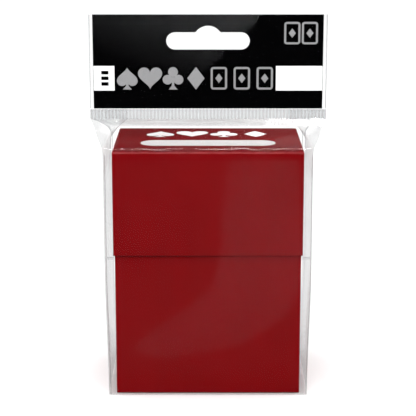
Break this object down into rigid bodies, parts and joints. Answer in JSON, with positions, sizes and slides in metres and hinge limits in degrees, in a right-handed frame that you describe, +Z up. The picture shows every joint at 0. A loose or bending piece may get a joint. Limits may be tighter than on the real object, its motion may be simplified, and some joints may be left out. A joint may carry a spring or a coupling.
{
  "type": "card deck box in hang-sell bag",
  "caption": "Tall folded plastic deck box with a deep flip lid and loose divider, inside a clear gusseted bag with a crimped seal and a black header card with a peg slot.",
  "frame": {"origin": "centre of the bag's base, on the surface it stands on", "axes": "+Z up, -Y out of the front face, +X to the right seen from the front"},
  "size_m": [0.0916, 0.0522, 0.1449],
  "materials": {
    "red_sheet": "satin dyed polypropylene sheet",
    "frosted_sheet": "frosted polypropylene sheet",
    "white_strip": "matt white ink film",
    "clear_film": "clear glossy film",
    "header_film": "clear glossy film",
    "header_print": "black printed card under gloss film"
  },
  "bodies": {
    "deck_box": {"front_wall": "red_sheet", "back_wall": "red_sheet", "left_wall": "red_sheet", "right_wall": "red_sheet", "seam_flap": "red_sheet", "base_panel": "red_sheet", "base_left_flap": "red_sheet", "base_right_flap": "red_sheet", "base_tuck_flap": "red_sheet", "living_hinge": "red_sheet"},
    "lid": {"lid_top_panel": "red_sheet", "lid_front_flap": "red_sheet", "lid_left_corner_ear": "red_sheet", "lid_left_ear": "red_sheet", "lid_right_corner_ear": "red_sheet", "lid_right_ear": "red_sheet", "label_strip": "white_strip"},
    "divider": {"deck_divider": "frosted_sheet"},
    "bag_lower": {"bag_front_film": "clear_film", "bag_back_film": "clear_film", "bag_left_film": "clear_film", "bag_right_film": "clear_film", "bag_base_front": "clear_film", "bag_base_back": "clear_film", "bag_base_seal": "clear_film"},
    "bag_top": {"hood_front_film": "clear_film", "hood_left_film": "clear_film", "hood_right_film": "clear_film", "hood_front_shoulder": "clear_film", "hood_back_shoulder": "clear_film", "hood_left_gusset": "clear_film", "hood_right_gusset": "clear_film", "top_crimp_seal": "clear_film"},
    "header": {"header_card": "header_print", "header_front_leaf": "header_film", "header_back_leaf": "header_film"}
  },
  "joints": [
    {"name": "box_pull_out", "type": "slide", "parent": "bag_lower", "child": "deck_box", "axis": [0, 0, 1], "range_m": [0, 0.1]},
    {"name": "lid_hinge", "type": "hinge", "parent": "deck_box", "child": "lid", "pos_m": [0, 0.02378, 0.09577], "axis": [-1, 0, 0], "range_deg": [0, 180]},
    {"name": "bag_top_fold", "type": "hinge", "parent": "deck_box", "child": "bag_top", "pos_m": [0, 0.02378, 0.09577], "axis": [-1, 0, 0], "range_deg": [0, 180]},
    {"name": "divider_shift", "type": "slide", "parent": "deck_box", "child": "divider", "axis": [0, 1, 0], "range_m": [-0.0298, 0.0149]},
    {"name": "header_fold", "type": "hinge", "parent": "bag_top", "child": "header", "pos_m": [0, 0, 0.1082], "axis": [1, 0, 0], "range_deg": [-25, 25], "stiffness_Nm_per_rad": 0.003}
  ],
  "couplings": [
    {"joint": "bag_top_fold", "follows": "lid_hinge", "ratio": 1}
  ]
}
